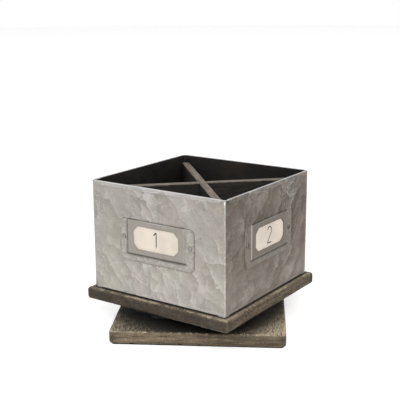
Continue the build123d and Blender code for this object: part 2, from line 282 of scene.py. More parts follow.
def board(name, settings, low, high, corner, arris, seed, turn, hole):
    """Worn board. Each column follows the outline and each row goes round the section: up the side, over
    the rounded arris, in across the top, down again and out across the bottom. Rows on a flat face blend
    from the outline to the hole's circle, or shrink towards a pole where there is no hole. Every point
    sinks inwards by a ripple and, near the arrises, by the part of a finer ripple above a threshold."""
    side_band, face_band, corner_band = 1.1 * MM, 1.6 * MM, 6 * MM
    soft_sink, chip_level, chip_range = 0.22 * MM, 0.75, 1.4
    centre, normal = square_loop(settings.half - corner, flat_steps=96, bend_steps=8)
    loop = np.linspace(0, tau, len(centre), endpoint=False)
    arc = np.linspace(0, pi / 2, 6)
    inset = corner - arris
    upright = np.linspace(low + arris, high - arris, 9)[1:-1]
    out_side = np.concatenate([
        inset + arris * np.sin(arc), np.full(len(upright), corner), inset + arris * np.cos(arc),
    ])
    z_side = np.concatenate([low + arris * (1 - np.cos(arc)), upright, high - arris * (1 - np.sin(arc))])
    edge_side = bell(z_side - low, side_band) + bell(z_side - high, side_band)
    face = np.linspace(0, 1, 15) ** 1.35
    rim = np.column_stack([centre + inset * normal, np.zeros(len(centre))])
    if hole:
        hub = np.array([settings.hole_out, 0, 0])
        ray = rim - hub
        inner = hub + settings.hole_radius * ray / np.linalg.norm(ray, axis=1)[:, None]
    else:
        face = face[:-1]
        inner = np.zeros_like(rim)
    across = rim * (1 - face[1:, None, None]) + inner * face[1:, None, None]
    edge_face = bell(face[1:] * settings.half, face_band)
    top, bottom = across.copy(), across[::-1].copy()
    top[..., 2], bottom[..., 2] = high, low
    sides = np.zeros((len(z_side), len(centre), 3))
    sides[..., :2] = centre + out_side[:, None, None] * normal
    sides[..., 2] = z_side[:, None]
    points = np.concatenate([bottom, sides, top])
    edge = np.concatenate([edge_face[::-1], edge_side, edge_face])[:, None]
    up_side = (2 * (z_side - low) / (high - low) - 1) ** 9
    facing_up = np.concatenate([-np.ones(len(bottom)), up_side, np.ones(len(top))])[:, None]
    height = points[..., 2] / (3 * MM)
    along = np.broadcast_to(loop, height.shape)
    soft = 0.5 + 0.22 * ripple(along, seed, waves=9, low=3, high=24, lean=height)
    fine = ripple(along, seed + 1, waves=40, low=30, high=170, lean=height * 0.5)
    chips = np.clip(fine - chip_level, 0, chip_range) / chip_range
    sink = np.clip(soft, 0, 1) * soft_sink * (0.35 + edge) + chips * edge * settings.bite
    flat_share = 1 - np.abs(facing_up)
    points[..., :2] -= normal * (sink * (flat_share + edge * 0.6).clip(0, 1))[..., None]
    points[..., 2] -= sink * facing_up
    bend = np.abs(normal).min(1) * sqrt(2)
    upper = np.clip((points[..., 2].mean(1) - low) / (high - low) * 2 - 0.6, 0.25, 1)[:, None]
    patch = 0.5 + 0.32 * ripple(along, seed + 2, waves=12, low=5, high=40)
    wear = upper * edge * (0.45 + 0.12 * bend + 0.35 * patch + chips * 0.5) + 0.38 * bend * flat_share
    side = flat_share * np.ones_like(wear)
    from_corner = settings.half - np.abs(points[..., :2]).min(-1)
    fields = {
        "edge": wear.clip(0, 1.4),
        "side": side,
        "end": side * normal[:, 1] ** 2,
        "corner": side * bell(from_corner, corner_band),
    }
    return surface(name, turned(points, turn), loop_rows=hole, fields=fields)


def panel_path(settings):
    """Plan of a wall panel on the middle of its sheet: the lap flange, a bend, the near wall, a bend and
    the side wall. Returns places, outward normals, length run, where along its own wall each place is,
    and whether it is on the lap."""
    half, gauge = settings.half, settings.gauge
    turn_radius = settings.bend - gauge / 2
    lap_radius = settings.lap_bend - gauge / 2
    middle, behind = half - gauge / 2, half - 3 * gauge / 2
    from_lap = lap_radius - behind
    in_corner = middle - turn_radius
    step = 0.02 * MM
    marks = [settings.hem_half - settings.hem_leaf, settings.hem_half, half - settings.toe]
    ends = np.array([mark + off for mark in marks for off in (-step, step)])
    along = np.unique(np.concatenate([np.linspace(-in_corner, in_corner, 46), ends, -ends]))
    near = np.append(from_lap, along[along > from_lap + step])
    flange = np.linspace(settings.lap - half, lap_radius - middle, 4)
    bend = np.linspace(0, pi / 2, 8)[1:-1]
    cosine, sine = np.cos(bend), np.sin(bend)
    last = np.append(along, [half - gauge, half])
    place = np.concatenate([
        pair(np.full(4, -behind), flange),
        pair(from_lap - lap_radius * cosine, lap_radius - middle - lap_radius * sine),
        pair(near, np.full(len(near), -middle)),
        pair(in_corner + turn_radius * sine, -in_corner - turn_radius * cosine),
        pair(np.full(len(last), middle), last),
    ])
    normal = np.concatenate([
        np.tile([-1.0, 0.0], (4, 1)),
        pair(-cosine, -sine),
        np.tile([0.0, -1.0], (len(near), 1)),
        pair(sine, -cosine),
        np.tile([1.0, 0.0], (len(last), 1)),
    ])
    turned_by = np.full(len(bend), half)
    on_wall = np.concatenate([np.full(4, half), turned_by, near, turned_by, last])
    on_lap = np.arange(len(on_wall)) < 4 + len(bend)
    run = np.concatenate([[0], np.cumsum(np.linalg.norm(np.diff(place, axis=0), axis=1))])
    return place, normal, run, on_wall, on_lap


def wall_section(settings, low, leaf, plain):
    """Sections of the sheet, one a row, as pairs of out and up: up the outside, round the hem and down the
    inside. low is the foot of each row, leaf the length of its hem's leaf and plain is true where the top
    is only rounded, beside the corners. Returns them with the number of stations up a side, the number in
    the hem and the height where the hem's fold starts."""
    half_gauge = settings.gauge / 2
    fold = settings.gauge + settings.hem_gap / 2
    fold_z = WALL_HIGH.z - fold
    middle = half_gauge + settings.hem_gap / 2
    up = np.concatenate([[0, 0.0016, 0.006, 0.02], np.linspace(0.05, 1, 20)])[None, :]
    down = 1 - up[:, ::-1]
    leaf_z = fold_z - leaf
    thick = middle + fold - settings.gauge

    def row_pairs(out, level):
        return pair(*np.broadcast_arrays(out + 0 * low, level + 0 * low))

    def arc(radius, turns):
        return row_pairs(middle + radius * np.cos(turns), fold_z + radius * np.sin(turns))

    hem = np.concatenate([
        arc(settings.hem_gap / 2, pi - np.linspace(0, pi, 5)[1:-1]),
        row_pairs(np.full(3, thick), fold_z + (leaf_z - fold_z) * np.array([0.0, 0.5, 0.92])),
        row_pairs(thick + settings.gauge * np.array([0.12, 0.5, 0.88]), leaf_z + np.zeros(3)),
        row_pairs(np.full(4, middle + fold), leaf_z + (fold_z - leaf_z) * np.array([0.08, 0.4, 0.7, 1.0])),
        arc(fold, np.linspace(0, pi, 9)[1:-1]),
    ], 1)
    part = np.linspace(0, 1, hem.shape[1])
    rise = np.interp(part, [0, 0.3, 0.7, 1], [0, 1, 1, 0]) * (fold - settings.corner_drop - half_gauge)
    swing = np.interp(part, [0.3, 0.7], [0, pi])
    rounded = pair(half_gauge * np.cos(swing), fold_z + rise + half_gauge * np.sin(swing))[None]
    edge = np.where(plain[..., None], rounded, hem)
    outside = row_pairs(half_gauge + 0 * up, low + (fold_z - low) * up)
    inside = row_pairs(-half_gauge + 0 * up, fold_z + (low - fold_z) * down)
    return np.concatenate([outside, edge, inside], 1), up.shape[1], hem.shape[1], fold_z


def wall_panel(name, settings, turn, seed):
    """Folded panel. Each row is a place in the plan and each column a station round the section of the
    sheet: up its outside, round the hem and down its inside. The hem's leaf shortens at 45 degrees beside
    the corners. The walls dip inwards by a product of sines, which fades out at the bends and the foot.
    The zinc's own plane is turned over past the near bend, so that its slant leans the other way there."""
    place, normal, run, on_wall, on_lap = panel_path(settings)
    off_lap = ~on_lap
    from_middle = np.abs(on_wall)
    leaf = np.clip(settings.hem_half - from_middle, 0, settings.hem_leaf) * off_lap
    leaf = leaf * (1 + 0.035 * ripple(run / run[-1] * pi, seed, waves=6, low=2, high=30))
    plain = (from_middle > settings.hem_half) | on_lap
    low = np.where(from_middle < settings.half - settings.toe, WALL_LOW.z + settings.lift, WALL_LOW.z)
    low = np.where(on_lap, settings.lap_foot, low)[:, None]
    section, tall, count, fold_z = wall_section(settings, low, leaf[:, None], plain[:, None])
    level = section[..., 1]
    fade_from, fade_over = settings.half - 5 * MM, 22 * MM
    fade = eased(np.clip((fade_from - from_middle) / fade_over, 0, 1) * off_lap)[:, None]
    high = np.clip((level - low) / (fold_z - low), 0, 1)
    stiff = np.sin(pi * high) ** 0.7
    quick_turn, slow_turn = run[:, None] * 118, run[:, None] * 61
    sway = 0.5 + 0.5 * np.sin(quick_turn + 4 * high + seed) * np.cos(slow_turn - 5 * high)
    out = section[..., 0] - settings.sway * fade * stiff * sway
    points = np.zeros((*level.shape, 3))
    points[..., :2] = place[:, None, :] + normal[:, None, :] * out[..., None]
    points[..., 2] = level
    steps = np.linalg.norm(np.diff(section, axis=1), axis=2)
    walk = np.concatenate([np.zeros_like(low), np.cumsum(steps, 1)], 1)
    bent = np.abs(normal).min(1)
    at_bend = run[(bent * off_lap).argmax()]
    gap, own_start = 0.21, seed * 0.37
    folded = np.where(run > at_bend, 2 * at_bend - run + gap, run) + own_start
    uv = pair(np.broadcast_to(folded[:, None], walk.shape), walk + low)
    crown = np.clip((level - (WALL_HIGH.z - 0.9 * MM)) / (0.7 * MM), 0, 1)
    of_edge = np.concatenate([np.zeros(tall), np.ones(count), np.zeros(tall)])[None, :]
    bend = (bent > 0.05)[:, None]
    seam = (bent > 0.05) & on_lap | (np.arange(len(run)) > len(run) - 4)
    # Painted highlight on the hem, strongest on its crown, and painted light in the seams' grooves at the
    # lap bend and the panel's end.
    hem_and_seam_light = np.maximum(of_edge * (0.25 + 0.75 * crown), 0.5 * seam[:, None])
    # Edge value for the rubbed wear on the hem, the bends and the foot, which there is painted highlight as
    # well.
    wear = np.clip(0.8 * hem_and_seam_light + 0.65 * bend + 0.6 * bell(level - low, 1.2 * MM), 0, 1)
    piece = surface(name, turned(points, turn), fields={"edge": wear, "hem": hem_and_seam_light}, uv=uv)
    coated = (run < run[-1] - 2 * MM)[:-1, None]
    station = np.arange(level.shape[1])
    enamelled = coated & (station >= tall + count - 1) & (station < len(station) - 1)
    slots = np.zeros(len(piece.data.polygons), np.int32)
    slots[: enamelled.size] = enamelled.ravel()
    piece.data.polygons.foreach_set("material_index", slots)
    return piece


def outline_reach(corners, directions, round_by):
    """Distance from the origin to a convex outline along each direction. The outline has straight edges
    between the corners, rounded by a circle of the given radius that touches both edges."""
    corners = np.asarray(corners, float)
    radius = np.broadcast_to(np.asarray(round_by, float), (len(corners),))
    before, after = np.roll(corners, 1, 0), np.roll(corners, -1, 0)
    mix = np.linspace(0, 1, 7)[:, None]
    dense = []
    for point, last, following, size in zip(corners, before, after, radius):
        one = (last - point) / np.linalg.norm(last - point)
        two = (following - point) / np.linalg.norm(following - point)
        half = np.arccos(np.clip(one @ two, -1, 1)) / 2
        centre = point + (one + two) / np.linalg.norm(one + two) * size / np.sin(half)
        start, end = point + one * size / np.tan(half), point + two * size / np.tan(half)
        chord = (start - centre) * (1 - mix) + (end - centre) * mix
        dense.append(centre + chord / np.linalg.norm(chord, axis=1, keepdims=True) * size)
    dense = np.concatenate(dense)
    heading = np.unwrap(np.arctan2(dense[:, 1], dense[:, 0]))
    order = np.argsort(heading)
    dense, heading = dense[order], heading[order]
    turn = (directions - heading[0]) % tau + heading[0]
    slot = (np.searchsorted(heading, turn, side="right") - 1).clip(0)
    here, there = dense[slot], np.roll(dense, -1, 0)[slot]
    step = there - here
    cross = np.cos(directions) * step[:, 1] - np.sin(directions) * step[:, 0]
    apart = np.abs(cross) > 1e-12
    reach = (here[:, 0] * step[:, 1] - here[:, 1] * step[:, 0]) / np.where(apart, cross, 1)
    return np.where(apart, reach, np.linalg.norm(here, axis=1))


def label_holder(name, settings, facing, wall, painted_shade_share):
    """Pressed label holder. Each column is a ray from the window's middle and each row a ring between the
    window and the flange's outline. The front stands at the flange's thickness outside the pocket and at
    the pocket's depth plus the sheet inside it, joined by a soft step; the back follows behind it.
    painted_shade_share is how dark the painted shade on the pocket's left step is, and what it lacks is
    painted there as highlight."""
    low, high = HOLDER_LOW.z, HOLDER_HIGH.z
    pocket_low = low + settings.pocket_foot
    tall = settings.window_height / 2
    hub = pocket_low + settings.window_rise + tall
    wide, cut = settings.window_half, settings.window_chamfer

    def upright_box(half, foot):
        return [(half, foot - hub), (half, high - hub), (-half, high - hub), (-half, foot - hub)]

    window = [
        (wide, -tall + cut), (wide, tall - cut), (wide - cut, tall), (cut - wide, tall),
        (-wide, tall - cut), (-wide, cut - tall), (cut - wide, -tall), (wide - cut, -tall),
    ]
    pocket_half = settings.pocket_half
    pocket = upright_box(pocket_half, pocket_low)
    flange = upright_box(settings.half_width, low)
    corners = np.array(window + pocket + flange)
    heads = np.arctan2(corners[:, 1], corners[:, 0])
    beside = (-0.05, -0.035, -0.02, -0.01, 0, 0.01, 0.02, 0.035, 0.05)
    spread = np.concatenate([np.linspace(-pi, pi, 180, endpoint=False)] + [heads + turn for turn in beside])
    heading = np.unique(np.round(spread, 6))
    heading = heading[(heading >= -pi) & (heading < pi)]
    cosine, sine = np.cos(heading), np.sin(heading)
    to_window = outline_reach(window, heading, 1.5 * MM)
    fold, sharp, edge = 1.1 * MM, 0.05 * MM, 0.14 * MM
    to_pocket = outline_reach(pocket, heading, [fold, sharp, sharp, fold])
    to_flange = outline_reach(flange, heading, settings.corner)
    to_pocket = np.minimum(to_pocket, to_flange - 0.03 * MM)
    plate = [to_window + part * edge for part in (0.0, 0.2, 1.0)]
    plate += [to_window + edge + (to_pocket - fold - to_window - edge) * part
              for part in (0.12, 0.3, 0.6, 0.85, 1.0)]
    step = [np.minimum(to_pocket + off * MM, to_flange - 0.02 * MM)
            for off in (-0.8, -0.55, -0.35, -0.18, -0.05, 0.1, 0.3, 0.55)]
    rest = [step[-1] + (to_flange - edge - step[-1]) * part for part in (0.3, 0.7, 1.0)]
    reach = np.stack(plate + step + rest + [to_flange - 0.05 * MM, to_flange])
    across, level = reach * cosine, reach * sine + hub
    inside_by = np.minimum(pocket_half - np.abs(across), level - pocket_low)
    rise = eased(np.clip((inside_by + 0.15 * MM) / (1.0 * MM), 0, 1))
    front = settings.gauge + settings.pocket_depth * rise
    back = settings.pocket_depth * eased(np.clip((inside_by - 0.35 * MM) / (0.9 * MM), 0, 1))
    tuck = np.ones((len(reach), 1))
    tuck[:2, 0] = 0.5, 0.85
    tuck[-2:, 0] = 0.85, 0.5
    half = (front + back) / 2
    front = half + (front - half) * tuck
    back = half + (back - half) * tuck
    within = (level > pocket_low - 0.6 * MM) * (np.abs(across) < pocket_half + 0.6 * MM)
    left_step = bell(across + pocket_half, 0.55 * MM) * within
    fold_width = (0.7 + 0.25 * across / pocket_half) * MM
    facing_down = np.clip(0.55 - 0.05 * cosine - 0.6 * sine, 0.2, 1)
    facing_up = np.clip(0.35 + 0.5 * (sine + 0.6 * cosine), 0.1, 0.8)
    # Painted shade: on the pocket's left step, along its foot and right step, round the flange's outline,
    # most where it faces down, and along the window's upper and right edges.
    dark = np.maximum.reduce([
        1.3 * painted_shade_share * left_step,
        1.5 * bell(level - pocket_low, fold_width) * within,
        0.3 * bell(across - pocket_half, 0.5 * MM) * within,
        (0.9 - 0.4 * painted_shade_share) * bell(to_flange - reach, 0.32 * MM) * facing_down,
        bell(reach - to_window, 0.3 * MM) * facing_up,
    ])
    # Painted highlights: round the pocket's raised plate, on its left step and along the flange's top edge.
    bright = np.maximum.reduce([
        (0.5 - 0.4 * painted_shade_share) * bell(inside_by - 0.75 * MM, 0.35 * MM),
        (1 - painted_shade_share) * 1.2 * left_step,
        1.1 * bell(to_flange - reach, 0.5 * MM) * np.clip(sine * 3 - 1.4, 0, 1),
    ])

    def both(value):
        return np.concatenate([value, value[::-1]])

    off = np.concatenate([front, back[::-1]])
    fields = {
        "painted_shade_lines": both(dark.clip(0, 1)),
        "edge": both(bright.clip(0, 1)),
        "plate": both(rise),
        "own": np.full(off.shape, facing * 0.01),
    }
    points = facing_way(facing, wall + off, both(across), both(level))
    return surface(name, points, loop_rows=True, uv=both(pair(across, level)), fields=fields)


def stroke_surface(path, width, height):
    """Half-round ribbon along a path in the plane: each row is a place on the path and each column a
    place round a half ellipse of the given width and height. Its ends taper off over the last rows."""
    ahead = np.gradient(path, axis=0)
    ahead /= np.linalg.norm(ahead, axis=1, keepdims=True)
    beside = pair(-ahead[:, 1], ahead[:, 0])
    around = np.linspace(0, tau, 10, endpoint=False)
    count = len(path)
    taper = np.sqrt(np.clip(np.minimum(np.arange(count), np.arange(count)[::-1]) / 2.0, 0.15, 1))
    across = np.cos(around)[None, :] * taper[:, None] * width / 2
    off = np.maximum(np.sin(around), -0.35)[None, :] * height * np.ones((count, 1))
    flat = path[:, None, :] + beside[:, None, :] * across[..., None]
    return np.concatenate([flat, off[..., None]], -1)


def numeral_paths(figure):
    """Strokes of one plain numeral in a box one high: straight runs and arcs of circles, as functions of
    a parameter from 0 to 1. The box is centred across and starts at the foot."""
    part = np.linspace(0, 1, 26)[:, None]

    def line(start_at, end_at):
        return np.array(start_at) + (np.array(end_at) - np.array(start_at)) * part[::2]

    def arc(x, y, wide, tall, start, end):
        heading = np.radians(start + (end - start) * part)
        return np.hstack([x + wide * np.cos(heading), y + tall * np.sin(heading)])

    if figure == 1:
        return [np.vstack([line((-0.16, 0.80), (0.03, 1.0)), line((0.03, 0.99), (0.03, 0.0))[1:]])]
    if figure == 2:
        return [np.vstack([
            arc(0, 0.74, 0.23, 0.26, 165, -35),
            line((0.185, 0.585), (-0.25, 0.01))[1:],
            line((-0.25, 0.0), (0.27, 0.0))[1:],
        ])]
    if figure == 3:
        return [np.vstack([arc(0, 0.76, 0.21, 0.24, 150, -82), arc(0, 0.27, 0.25, 0.27, 84, -150)[1:]])]
    return [
        np.vstack([line((0.08, 1.0), (-0.27, 0.30)), line((-0.26, 0.29), (0.28, 0.29))[1:]]),
        line((0.08, 1.0), (0.08, 0.0)),
    ]


def numeral(name, figure, settings, facing, out, foot):
    """Printed numeral, a little proud of the card's face."""
    pieces = []
    for path in numeral_paths(figure):
        grid = stroke_surface(path * settings.numeral_height, settings.stroke, 0.07 * MM)
        points = facing_way(facing, out + grid[..., 2], grid[..., 0], grid[..., 1] + foot)
        pieces.append(surface(name, points))
    if len(pieces) > 1:
        with bpy.context.temp_override(active_object=pieces[0], selected_editable_objects=pieces):
            bpy.ops.object.join()
    return pieces[0]


# Shader helpers


class Nodes:
    """Puts nodes into one node tree. A value given for an input is a socket to join or a plain value, and
    of a plain colour only the first three numbers count."""

    def __init__(self, tree):
        self.tree = tree

    def give(self, socket, value):
        if isinstance(value, bpy.types.NodeSocket):
            self.tree.links.new(value, socket)
        else:
            socket.default_value = (*value[:3], 1.0) if socket.type == "RGBA" else value

    def put(self, kind, values=None, **settings):
        node = self.tree.nodes.new(kind)
        for key, value in settings.items():
            setattr(node, key, value)
        for key, value in (values or {}).items():
            self.give(node.inputs[key], value)
        return node

    def use(self, build, **values):
        """Places a shared group with its own values, and returns its outputs."""
        named = {key.replace("_", " "): value for key, value in values.items()}
        return self.put("ShaderNodeGroup", named, node_tree=build()).outputs

    def math(self, operation, *values, clamp=False):
        values = dict(enumerate(values))
        return self.put("ShaderNodeMath", values, operation=operation, use_clamp=clamp).outputs[0]

    def plus(self, one, two):
        return self.math("ADD", one, two)

    def less(self, one, two):
        return self.math("SUBTRACT", one, two)

    def times(self, one, two):
        return self.math("MULTIPLY", one, two)

    def most(self, one, two):
        return self.math("MAXIMUM", one, two)

    def weighed(self, start, *terms):
        """A start and the sum of values times their weights."""
        for value, weight in terms:
            start = self.math("MULTIPLY_ADD", value, weight, start)
        return start

    def vector(self, operation, *values):
        node = self.put("ShaderNodeVectorMath", dict(enumerate(values)), operation=operation)
        return node.outputs["Value" if operation in ("DOT_PRODUCT", "LENGTH") else "Vector"]

    def parts(self, vector):
        return self.put("ShaderNodeSeparateXYZ", {0: vector}).outputs

    def joined(self, *values):
        return self.put("ShaderNodeCombineXYZ", dict(enumerate(values))).outputs[0]

    def turned(self, vector, turn):
        values = {"Vector": vector, "Angle": turn}
        return self.put("ShaderNodeVectorRotate", values, rotation_type="Z_AXIS").outputs[0]

    def scaled(self, vector, scale, turn=0.0):
        values = {"Vector": vector, "Rotation": (0.0, 0.0, turn), "Scale": scale}
        return self.put("ShaderNodeMapping", values).outputs[0]

    def mix(self, factor, first, second, mode="MIX"):
        values = {0: factor, 6: first, 7: second}
        return self.put("ShaderNodeMix", values, data_type="RGBA", blend_type=mode).outputs[2]

    def layered(self, base, *layers):
        """Lays colours over a base, one after another, each by its own factor."""
        for factor, tint in layers:
            base = self.mix(factor, base, tint)
        return base

    def ramp(self, value, low, high, to_low=0.0, to_high=1.0, kind="SMOOTHSTEP"):
        """Eases from one result to the other while the value goes from low to high."""
        values = dict(enumerate((value, low, high, to_low, to_high)))
        return self.put("ShaderNodeMapRange", values, interpolation_type=kind).outputs[0]

    def noise(self, vector, scale, detail=2.0, roughness=0.55):
        values = {"Vector": vector, "Scale": scale, "Detail": detail, "Roughness": roughness}
        return self.put("ShaderNodeTexNoise", values).outputs[0]


def start_group(name, **inputs):
    """A new node group with an input called Vector and the given inputs with their usual values. Returns
    its nodes, the vector and the other inputs."""
    tree = bpy.data.node_groups.new(name, "ShaderNodeTree")
    tree.interface.new_socket(name="Vector", in_out="INPUT", socket_type="NodeSocketVector")
    for key, default in inputs.items():
        label = key.replace("_", " ")
        socket = tree.interface.new_socket(name=label, in_out="INPUT", socket_type="NodeSocketFloat")
        socket.default_value = default
    nodes = Nodes(tree)
    sockets = nodes.put("NodeGroupInput").outputs
    return nodes, *(sockets[index] for index in range(len(inputs) + 1))


def end_group(nodes, **outputs):
    """Gives a group its outputs, all plain values, and joins them. Returns the group's tree."""
    for label in outputs:
        nodes.tree.interface.new_socket(name=label, in_out="OUTPUT", socket_type="NodeSocketFloat")
    nodes.put("NodeGroupOutput", outputs)
    return nodes.tree


def crystal_layer(nodes, vector, scale, width):
    """One layer of zinc crystals on a plane, drawn out along X: each cell has its own tone and brightens
    evenly towards its own side of -Y. The rim is a thin line along that side's border, the shadow a thin
    line along the far side's border and the feather fine lines in the cell's own direction."""
    values = {"Vector": vector, "Scale": scale, "Randomness": 1.0}
    kind, plane = "ShaderNodeTexVoronoi", "2D"
    cell = nodes.put(kind, values, voronoi_dimensions=plane, feature="F1").outputs
    border = nodes.put(kind, values, voronoi_dimensions=plane, feature="DISTANCE_TO_EDGE").outputs[0]
    tints = nodes.put("ShaderNodeSeparateColor", {0: cell["Color"]}).outputs
    way = nodes.vector("NORMALIZE", nodes.vector("SUBTRACT", cell["Color"], (0.5, 1.1, 0.5)))
    flat_way = nodes.vector("MULTIPLY", way, (1.0, 1.0, 0.0))
    off = nodes.vector("SUBTRACT", vector, cell["Position"])
    along = nodes.times(nodes.vector("DOT_PRODUCT", off, flat_way), scale)
    across = nodes.times(nodes.vector("DOT_PRODUCT", off, nodes.turned(flat_way, pi / 2)), scale)
    own = nodes.times(tints[2], 40.0)
    feather_at = nodes.joined(nodes.times(along, 1.6), nodes.times(across, 9.0), own)
    line = nodes.ramp(border, width, 0.15 * width)
    rim = nodes.times(line, nodes.ramp(along, 0.08, 0.3))
    shadow = nodes.times(line, nodes.ramp(along, -0.05, -0.28))
    return tints, along, nodes.noise(feather_at, 1.0), rim, shadow


@cache
def spangle_group():
    """Zinc spangle: a large and a small layer of crystals on a plane, drawn out along one slant, with
    borders bent by slow noise and torn by quick noise. Tone is how bright a crystal is at a point, Tint
    how cool it is, Glint its bright rim and Height a soft relief that leans each crystal its own way."""
    nodes, at, per_metre, contrast = start_group("Zinc spangle", Per_Metre=75.0, Contrast=1.0)
    bent = at
    for scale, detail, roughness, reach in ((95.0, 2.0, 0.5, 0.010), (480.0, 3.0, 0.6, 0.0034)):
        wander = nodes.noise(at, scale, detail, roughness).node.outputs[1]
        wobble = nodes.vector("SCALE", nodes.vector("SUBTRACT", wander, (0.5, 0.5, 0.5)))
        wobble.node.inputs["Scale"].default_value = reach
        bent = nodes.vector("ADD", bent, wobble)
    slant = nodes.turned(bent, 0.9)
    drawn = nodes.scaled(slant, (0.72, 1.0, 1.0))
    tints, along, feather, rim, shadow = crystal_layer(nodes, drawn, per_metre, 0.075)
    small = crystal_layer(nodes, drawn, nodes.times(per_metre, 1.9), 0.12)
    small_tints, small_along, small_feather, small_rim, small_shadow = small
    drift = nodes.noise(at, 14.0)
    grit = nodes.noise(nodes.scaled(slant, (0.4, 1.0, 1.0)), 1500.0, 2.0, 0.6)
    tone = nodes.weighed(
        -0.82,
        (nodes.ramp(along, -0.45, 0.62), 0.28),
        (tints[2], 0.22),
        (nodes.ramp(small_along, -0.45, 0.62), 0.20),
        (small_tints[2], 0.14),
        (feather, 0.16),
        (drift, 0.34),
        (grit, 0.3),
        (nodes.most(shadow, nodes.times(small_shadow, 0.5)), -0.16),
    )
    calm = nodes.ramp(nodes.noise(at, 26.0), 0.38, 0.60, 0.5, 1.25)
    tone = nodes.math("MULTIPLY_ADD", tone, nodes.times(contrast, calm), 0.5, clamp=True)
    glint = nodes.times(rim, nodes.ramp(tints[0], 0.35, 0.8, 0.1, 0.8))
    glint = nodes.most(glint, nodes.times(small_rim, nodes.ramp(small_tints[0], 0.55, 0.9, 0.0, 0.65)))
    shards = nodes.ramp(nodes.noise(nodes.scaled(slant, (0.2, 1.0, 1.0)), 980.0, 1.0), 0.60, 0.67)
    glint = nodes.most(glint, nodes.times(shards, nodes.ramp(tints[1], 0.3, 0.7, 0.2, 1.0)))
    tint = nodes.weighed(0.0, (tints[1], 0.7), (drift, 0.3))
    height = nodes.weighed(0.0, (feather, 0.5), (small_feather, 0.5), (along, 30.0), (small_along, 12.0))
    return end_group(nodes, Tone=tone, Tint=tint, Glint=nodes.times(glint, calm), Height=height)


@cache
def grain_group():
    """Wood grain along Y: long thin streaks that bow a little, and pores. Grain is pale in soft wood and
    dark in hard bands, Pores marks the dark pits and Height is their relief."""
    nodes, at, line_scale, stretch = start_group("Wood grain", Line_Scale=620.0, Stretch=0.06)
    x, y, z = nodes.parts(at)
    shift = nodes.math("MULTIPLY_ADD", nodes.noise(nodes.scaled(at, (1.0, 0.25, 1.0)), 24.0), 0.012, -0.006)
    lines_at = nodes.joined(nodes.plus(x, shift), nodes.times(y, stretch), nodes.weighed(z, (shift, 0.7)))
    lines = nodes.noise(lines_at, line_scale, 4.0, 0.62)
    pores = nodes.ramp(nodes.noise(lines_at, nodes.times(line_scale, 2.6), 2.0, 0.5), 0.56, 0.68)
    return end_group(nodes, Grain=lines, Pores=pores, Height=nodes.weighed(lines, (pores, -0.35)))


@cache
def wear_group():
    """Edge wear: an edge value that a piece carries is broken up by noise, and what is over a threshold
    counts as rubbed. Rubbed is the mask and Soft a wider, fainter one."""
    nodes, at, edge, amount, breakup = start_group("Edge wear", Edge=0.0, Amount=0.5, Breakup=300.0)
    broken = nodes.weighed(edge, (nodes.noise(at, breakup, 4.0, 0.6), 1.3), (amount, 1.0))
    rubbed = nodes.ramp(broken, 1.8, 1.96)
    return end_group(nodes, Rubbed=rubbed, Soft=nodes.ramp(broken, 1.15, 2.05))


@cache
def mottle_group():
    """Mottle and dust: slow patches, middling blotches and fine specks, for uneven colour and gloss."""
    made = start_group("Mottle and dust", Patch_Scale=40.0, Speck_Scale=900.0)
    nodes, at, patch_scale, speck_scale = made
    patches = nodes.noise(at, patch_scale, 3.0, 0.55)
    blotches = nodes.noise(at, nodes.times(patch_scale, 5.0), 3.0, 0.6)
    fine = nodes.noise(at, speck_scale, 2.0, 0.6)
    height = nodes.weighed(0.0, (blotches, 0.6), (fine, 0.4))
    specks = nodes.ramp(fine, 0.62, 0.72)
    return end_group(nodes, Patches=patches, Blotches=blotches, Specks=specks, Height=height)


@cache
def brushed_group():
    """Brushed lines: noise drawn out along X, in two widths, for rolled and drawn metal."""
    nodes, at, line_scale = start_group("Brushed lines", Line_Scale=2500.0)
    drawn = nodes.scaled(at, (0.03, 1.0, 1.0))
    wide = nodes.noise(drawn, nodes.times(line_scale, 0.4))
    return end_group(nodes, Lines=nodes.weighed(0.0, (nodes.noise(drawn, line_scale), 0.6), (wide, 0.4)))


class Coat(Nodes):
    """The nodes of a new material with one Principled BSDF, whose plain values are set on its own
    sockets. at holds the Object coordinates."""

    def __init__(self, name, **plain):
        self.material = bpy.data.materials.new(name)
        self.material.use_nodes = True
        super().__init__(self.material.node_tree)
        self.tree.nodes.clear()
        named = {key.replace("_", " "): value for key, value in plain.items()}
        self.shader = self.put("ShaderNodeBsdfPrincipled", named)
        self.put("ShaderNodeOutputMaterial", {"Surface": self.shader.outputs[0]}, target="ALL")
        self.at = self.put("ShaderNodeTexCoord").outputs["Object"]

    def carried(self, name):
        """A value that the piece's own mesh carries."""
        node = self.put("ShaderNodeAttribute", attribute_name=name, attribute_type="GEOMETRY")
        return node.outputs["Fac"]

    def sheet(self):
        """Places on the unfolded sheet."""
        return self.put("ShaderNodeUVMap", uv_map="sheet").outputs[0]

    def mottle(self, patch_scale, speck_scale, at=None):
        at = self.at if at is None else at
        return self.use(mottle_group, Vector=at, Patch_Scale=patch_scale, Speck_Scale=speck_scale)

    def finish(self, colour, roughness=None, height=None, strength=0.3, distance=0.2 * MM, metallic=None):
        """Joins changing values to the shader, with a bump from a height. Returns the material."""
        values = {"Base Color": colour, "Roughness": roughness, "Metallic": metallic}
        if height is not None:
            bump = {"Height": height, "Strength": strength, "Distance": distance}
            values["Normal"] = self.put("ShaderNodeBump", bump).outputs[0]
        for key, value in values.items():
            if value is not None:
                self.give(self.shader.inputs[key], value)
        return self.material


# Materials


